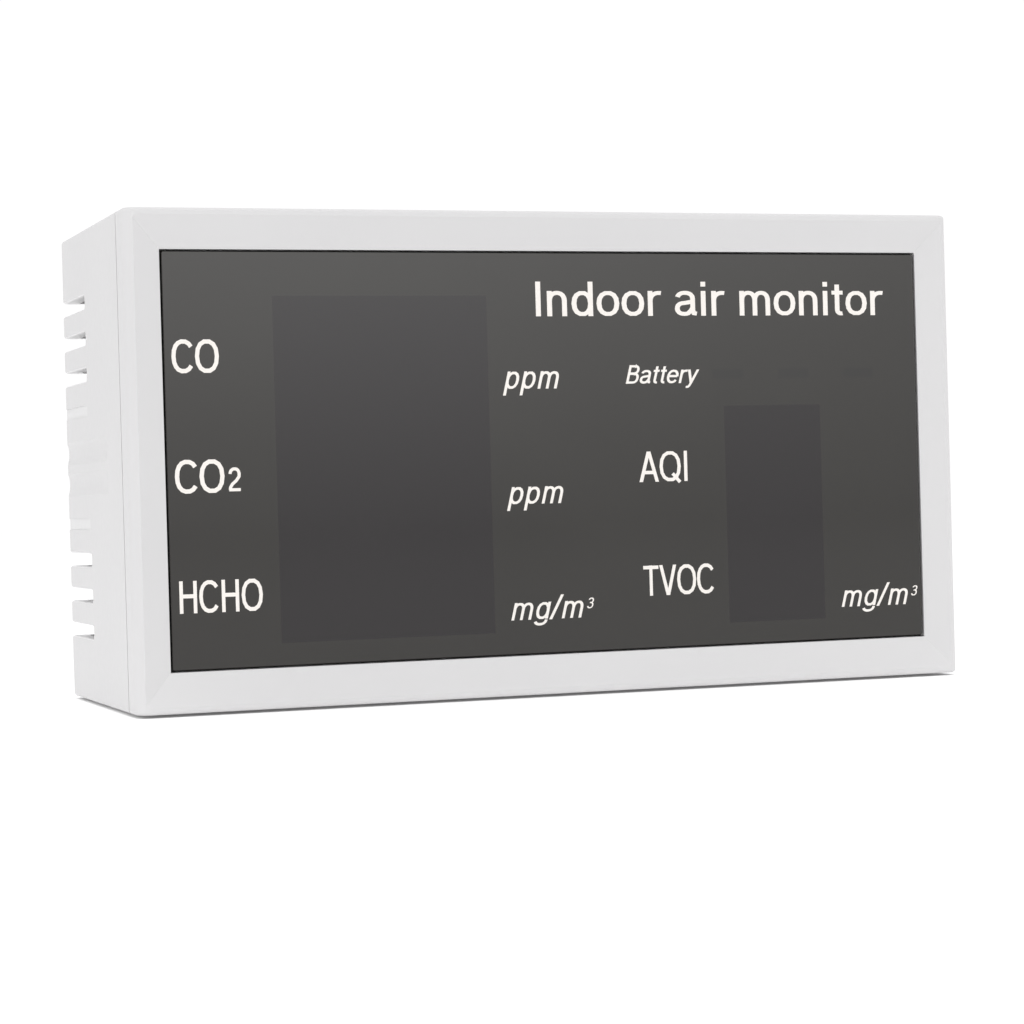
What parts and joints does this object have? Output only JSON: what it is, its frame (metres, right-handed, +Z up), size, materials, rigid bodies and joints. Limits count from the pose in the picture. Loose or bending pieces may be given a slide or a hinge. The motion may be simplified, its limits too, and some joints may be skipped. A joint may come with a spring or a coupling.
{
  "type": "air quality monitor",
  "caption": "Desktop air quality monitor with a dark flush display window in a dished white frame, a vented rear shell and a side power switch.",
  "frame": {"origin": "middle of the plane that the four feet rest on", "axes": "+X to the right seen from the front, +Y from the display towards the back, +Z up"},
  "size_m": [0.1212, 0.047, 0.0669],
  "materials": {
    "case_plastic": "fine satin moulded ABS",
    "knob_plastic": "satin moulded ABS",
    "window_acrylic": "polished smoke-tinted acrylic",
    "mask_ink": "matt black screen-printed film",
    "tape_foam": "black double-sided foam tape",
    "display_epoxy": "satin filled epoxy",
    "light_epoxy": "translucent epoxy",
    "board_mask": "glossy green solder mask",
    "chip_plastic": "matt moulded epoxy",
    "contact_gold": "gold-plated brass",
    "sensor_plastic": "matt moulded plastic",
    "sensor_blue": "matt moulded plastic",
    "sensor_steel": "drawn steel can",
    "switch_black": "satin moulded plastic",
    "part_ceramic": "fired ceramic with tinned ends",
    "battery_foil": "matt laminated foil pouch",
    "lead_red": "soft wire insulation",
    "lead_black": "soft wire insulation",
    "foot_rubber": "matt rubber",
    "legend_ink": "matt warm white screen-printed ink",
    "screw_steel": "zinc-plated steel"
  },
  "bodies": {
    "case": {"front_cover": "case_plastic", "rear_shell": "case_plastic", "display_window": "window_acrylic", "printed_mask": "mask_ink", "battery_bar_shroud": "mask_ink", "window_tape": "tape_foam", "battery_pad": "tape_foam", "co_display": "display_epoxy", "co2_display": "display_epoxy", "hcho_display": "display_epoxy", "aqi_display": "display_epoxy", "tvoc_display": "display_epoxy", "battery_level_lights": "light_epoxy", "display_board": "board_mask", "main_board": "board_mask", "co2_sensor_board": "board_mask", "display_drivers": "chip_plastic", "controller_chip": "chip_plastic", "charger_chip": "chip_plastic", "power_coil": "chip_plastic", "buzzer": "chip_plastic", "board_link_strip": "chip_plastic", "board_link_socket": "chip_plastic", "usb_tongue": "chip_plastic", "board_link_pins": "contact_gold", "board_spacers": "contact_gold", "co2_optical_chamber": "contact_gold", "co_sensor": "sensor_plastic", "battery_plug": "sensor_plastic", "battery_socket": "sensor_plastic", "hcho_sensor": "sensor_blue", "tvoc_sensor": "sensor_steel", "usb_shell": "sensor_steel", "switch_body": "switch_black", "small_board_parts": "part_ceramic", "battery_cell": "battery_foil", "battery_lead_red": "lead_red", "battery_lead_black": "lead_black", "rubber_feet": "foot_rubber", "case_screws": "screw_steel", "display_board_screws": "screw_steel", "spacer_screws": "screw_steel"},
    "power_slider": {"power_knob": "knob_plastic", "switch_lever": "switch_black"}
  },
  "joints": [
    {"name": "power_slide", "type": "slide", "parent": "case", "child": "power_slider", "axis": [0, 0, 1], "range_m": [0, 0.002]}
  ]
}
